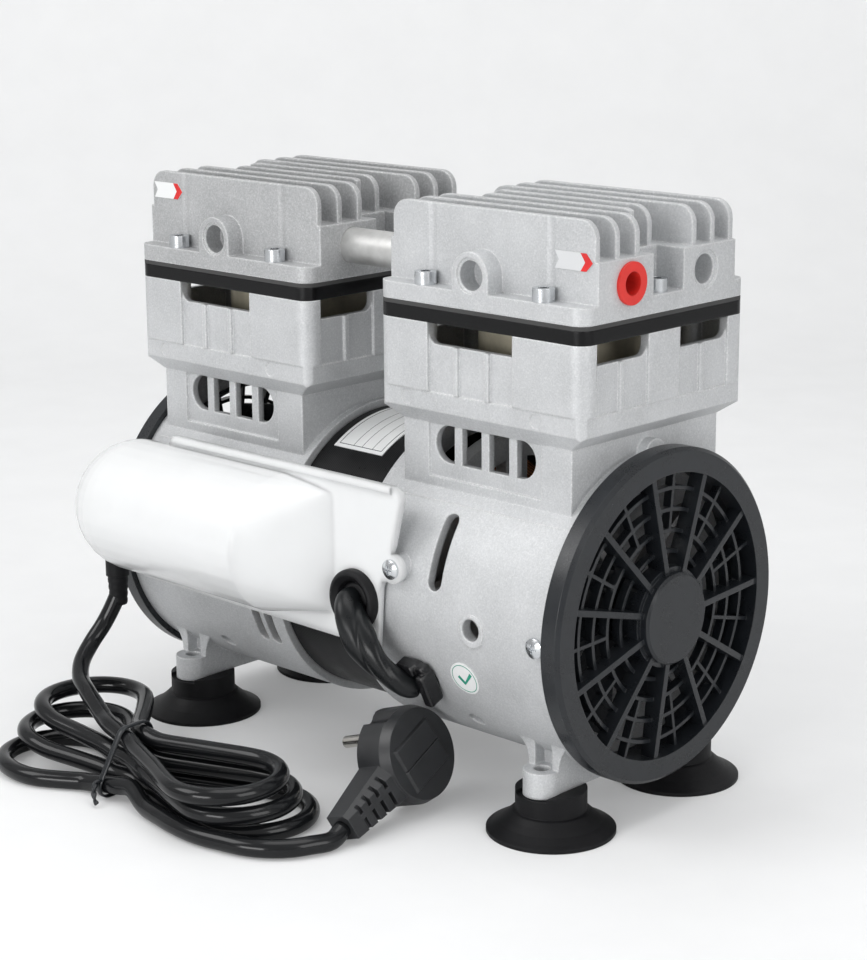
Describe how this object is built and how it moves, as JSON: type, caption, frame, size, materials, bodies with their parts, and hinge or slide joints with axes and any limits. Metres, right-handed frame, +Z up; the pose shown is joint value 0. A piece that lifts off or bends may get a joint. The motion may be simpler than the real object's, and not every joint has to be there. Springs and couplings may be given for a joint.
{
  "type": "oil-free vacuum pump",
  "caption": "Compact oil-free vacuum pump: finned cylinder heads over round crankcases, a motor between them, grilled fan guards, suction feet, a capacitor cover and a tied mains cord with plug",
  "frame": {"origin": "Middle of the pump's footprint without its cord, on the floor plane that the suction feet stand on", "axes": "+X along the motor shaft towards the end with the plugged outlet port, -Y towards the capacitor cover, +Z up"},
  "size_m": [0.261, 0.2169, 0.2364],
  "materials": {
    "silver_paint": "satin silver paint on cast aluminium",
    "black_paint": "satin black paint",
    "anodised_aluminium": "hard anodised",
    "bare_aluminium": "bare",
    "gasket": "matt fibre gasket",
    "zinc_steel": "bright zinc plate",
    "spring_steel": "polished strip",
    "bearing_steel": "ground",
    "cast_iron": "as cast",
    "copper_wire": "enamelled copper wire",
    "black_rubber": "matt",
    "black_plastic": "satin moulded",
    "white_plastic": "satin moulded",
    "white_label": "film",
    "red_plastic": "soft moulded",
    "seal_plastic": "filled fluoropolymer",
    "cord_plastic": "smooth black vinyl",
    "pin_nickel": "nickel plate"
  },
  "bodies": {
    "housing": {"crankcase_left": "silver_paint", "crankcase_right": "silver_paint", "cylinder_sleeve_left": "anodised_aluminium", "cylinder_sleeve_right": "anodised_aluminium", "valve_plate_left": "black_paint", "valve_plate_right": "black_paint", "head_gaskets": "gasket", "cylinder_head_left": "silver_paint", "cylinder_head_right": "silver_paint", "head_screws": "zinc_steel", "reed_valves": "spring_steel", "crossover_tube": "bare_aluminium", "tube_orings": "black_rubber", "stator_core": "black_paint", "stator_windings": "copper_wire", "motor_bolts": "zinc_steel", "bearing_outer_rings": "bearing_steel", "fan_guard_left": "black_plastic", "fan_guard_right": "black_plastic", "panhead_screws": "zinc_steel", "capacitor": "white_label", "capacitor_cover": "white_plastic", "cover_grommet": "black_rubber", "lead_sleeve": "black_plastic", "lead_bush": "black_rubber", "cord_gland": "black_rubber", "suction_foot_front_left": "black_rubber", "suction_foot_front_right": "black_rubber", "suction_foot_rear_left": "black_rubber", "suction_foot_rear_right": "black_rubber", "foot_screws": "zinc_steel", "nameplate": "white_label", "arrow_labels": "white_label", "round_label": "white_label", "cord_drop": "cord_plastic", "cord_hank": "cord_plastic", "cord_tail": "cord_plastic", "cord_tie": "black_plastic", "mains_plug": "cord_plastic", "plug_pins": "pin_nickel"},
    "exhaust_plug": {"exhaust_plug": "red_plastic"},
    "rotor": {"shaft": "bearing_steel", "rotor_core": "bearing_steel", "rotor_end_rings": "bare_aluminium", "bearing_inner_rings": "bearing_steel", "eccentric_left": "cast_iron", "eccentric_right": "cast_iron", "set_screws": "zinc_steel", "fan_left": "black_plastic", "fan_right": "black_plastic"},
    "rod_left": {"connecting_rod_left": "bare_aluminium", "rod_bearing_left": "bearing_steel", "cup_seal_left": "seal_plastic", "piston_cap_left": "bare_aluminium"},
    "rod_right": {"connecting_rod_right": "bare_aluminium", "rod_bearing_right": "bearing_steel", "cup_seal_right": "seal_plastic", "piston_cap_right": "bare_aluminium"}
  },
  "joints": [
    {"name": "exhaust_plug_pull", "type": "slide", "parent": "housing", "child": "exhaust_plug", "axis": [1, 0, 0], "range_m": [0, 0.06]},
    {"name": "rotor_spin", "type": "hinge", "parent": "housing", "child": "rotor", "pos_m": [0, 0.01625, 0.0815], "axis": [1, 0, 0], "continuous": true},
    {"name": "rod_left_pivot", "type": "hinge", "parent": "rotor", "child": "rod_left", "pos_m": [-0.0716, 0.01625, 0.0865], "axis": [1, 0, 0], "continuous": true, "deforming": ["cup_seal_left"]},
    {"name": "rod_right_pivot", "type": "hinge", "parent": "rotor", "child": "rod_right", "pos_m": [0.0716, 0.01625, 0.0765], "axis": [1, 0, 0], "continuous": true, "deforming": ["cup_seal_right"]}
  ],
  "couplings": [
    {"joint": "rod_left_pivot", "follows": "rotor_spin", "ratio": -1},
    {"joint": "rod_right_pivot", "follows": "rotor_spin", "ratio": -1}
  ]
}
